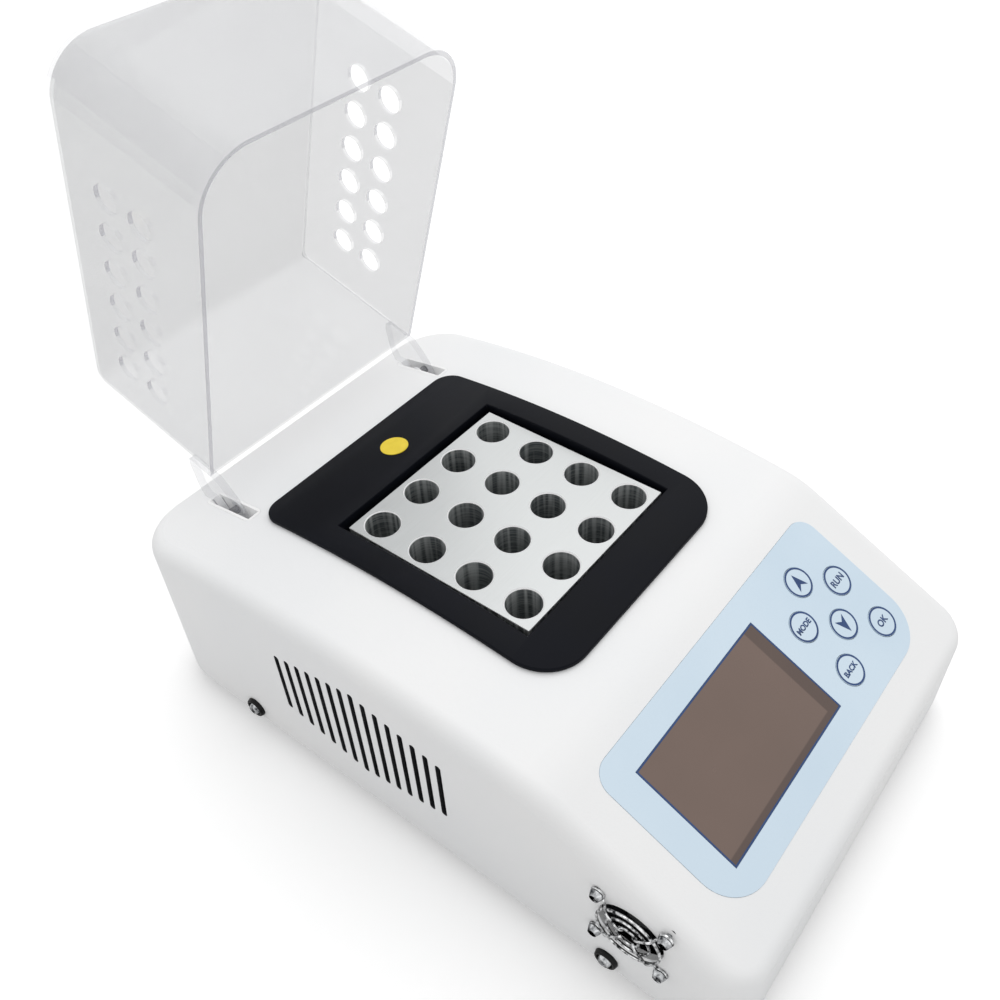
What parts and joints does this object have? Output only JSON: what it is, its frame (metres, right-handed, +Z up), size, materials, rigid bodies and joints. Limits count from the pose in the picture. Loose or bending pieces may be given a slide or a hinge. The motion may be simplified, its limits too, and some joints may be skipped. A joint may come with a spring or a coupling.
{
  "type": "chemical oxygen demand reactor",
  "caption": "White bench heating reactor with an open clear hood, a well block for digestion vials, a sloped control panel with screen and keys, side vents and a small fan.",
  "frame": {"origin": "centre of the bounding box in plan, on the plane the rubber feet stand on, with the lid open as drawn", "axes": "+X to the user's right, +Y to the back where the lid is hinged, +Z up"},
  "size_m": [0.227, 0.3892, 0.3091],
  "materials": {
    "painted_metal": "satin white powder coat",
    "rubber": "matt",
    "black_washer": "satin black",
    "screw_steel": "bright plated steel",
    "block_aluminium": "machined, fine satin",
    "heater_steel": "brushed",
    "insulation": "matt fibre board",
    "black_frame": "fine satin black",
    "yellow_dot": "satin yellow film",
    "black_plastic": "moulded black",
    "chrome_wire": "bright wire",
    "membrane": "pale blue film with navy print",
    "screen": "grey brown smoked glass",
    "lcd": "dark module",
    "circuit_board": "green solder mask",
    "clear_acrylic": "clear polished sheet",
    "white_plastic": "satin white",
    "power_case": "perforated case",
    "sink_aluminium": "extruded"
  },
  "bodies": {
    "base": {"top_cover": "painted_metal", "base_tray": "painted_metal", "rubber_feet": "rubber", "cup_washers": "black_washer", "cover_screws": "screw_steel", "fan_screws": "screw_steel", "hinge_pins": "screw_steel", "heating_block": "block_aluminium", "heater_cartridges": "heater_steel", "temperature_probe": "heater_steel", "fan_spacers": "heater_steel", "board_posts": "heater_steel", "block_legs": "heater_steel", "inlet_blades": "heater_steel", "insulation_jacket": "insulation", "bezel_frame": "black_frame", "marker_dot": "yellow_dot", "fan_frame": "black_plastic", "power_inlet": "black_plastic", "switch_body": "black_plastic", "key_switches": "black_plastic", "board_parts": "black_plastic", "finger_guard": "chrome_wire", "membrane_panel": "membrane", "display_window": "screen", "lcd_module": "lcd", "display_board": "circuit_board", "key_board": "circuit_board", "main_board": "circuit_board", "pin_spacers": "clear_acrylic", "hinge_cup_left": "white_plastic", "hinge_cup_right": "white_plastic", "power_supply": "power_case", "relay": "power_case", "heat_sink": "sink_aluminium"},
    "lid": {"lid_wall": "clear_acrylic", "lid_top": "clear_acrylic", "lid_ear_left": "clear_acrylic", "lid_ear_right": "clear_acrylic"},
    "fan": {"fan_rotor": "black_plastic"},
    "fuse_holder": {"fuse_drawer": "black_plastic"},
    "power_switch": {"rocker_cap": "black_plastic"},
    "key_up_button": {"key_up": "membrane"},
    "key_run_button": {"key_run": "membrane"},
    "key_mode_button": {"key_mode": "membrane"},
    "key_down_button": {"key_down": "membrane"},
    "key_back_button": {"key_back": "membrane"},
    "key_ok_button": {"key_ok": "membrane"}
  },
  "joints": [
    {"name": "lid_hinge", "type": "hinge", "parent": "base", "child": "lid", "pos_m": [0, 0.11086, 0.09728], "axis": [1, 0, 0], "range_deg": [0, 72.5]},
    {"name": "fan_spin", "type": "hinge", "parent": "base", "child": "fan", "pos_m": [-0.099, -0.1453, 0.053], "axis": [1, 0, 0], "continuous": true},
    {"name": "fuse_drawer_slide", "type": "slide", "parent": "base", "child": "fuse_holder", "axis": [0, 1, 0], "range_m": [0, 0.015]},
    {"name": "power_rocker", "type": "hinge", "parent": "base", "child": "power_switch", "pos_m": [0.022, 0.1403, 0.0492], "axis": [1, 0, 0], "range_deg": [-18, 0]},
    {"name": "key_up_press", "type": "slide", "parent": "base", "child": "key_up_button", "axis": [0, 0.4374, -0.8993], "range_m": [0, 0.0008], "stiffness_N_per_m": 600, "springref_m": -0.0005},
    {"name": "key_run_press", "type": "slide", "parent": "base", "child": "key_run_button", "axis": [0, 0.4374, -0.8993], "range_m": [0, 0.0008], "stiffness_N_per_m": 600, "springref_m": -0.0005},
    {"name": "key_mode_press", "type": "slide", "parent": "base", "child": "key_mode_button", "axis": [0, 0.4374, -0.8993], "range_m": [0, 0.0008], "stiffness_N_per_m": 600, "springref_m": -0.0005},
    {"name": "key_down_press", "type": "slide", "parent": "base", "child": "key_down_button", "axis": [0, 0.4374, -0.8993], "range_m": [0, 0.0008], "stiffness_N_per_m": 600, "springref_m": -0.0005},
    {"name": "key_back_press", "type": "slide", "parent": "base", "child": "key_back_button", "axis": [0, 0.4374, -0.8993], "range_m": [0, 0.0008], "stiffness_N_per_m": 600, "springref_m": -0.0005},
    {"name": "key_ok_press", "type": "slide", "parent": "base", "child": "key_ok_button", "axis": [0, 0.4374, -0.8993], "range_m": [0, 0.0008], "stiffness_N_per_m": 600, "springref_m": -0.0005}
  ]
}
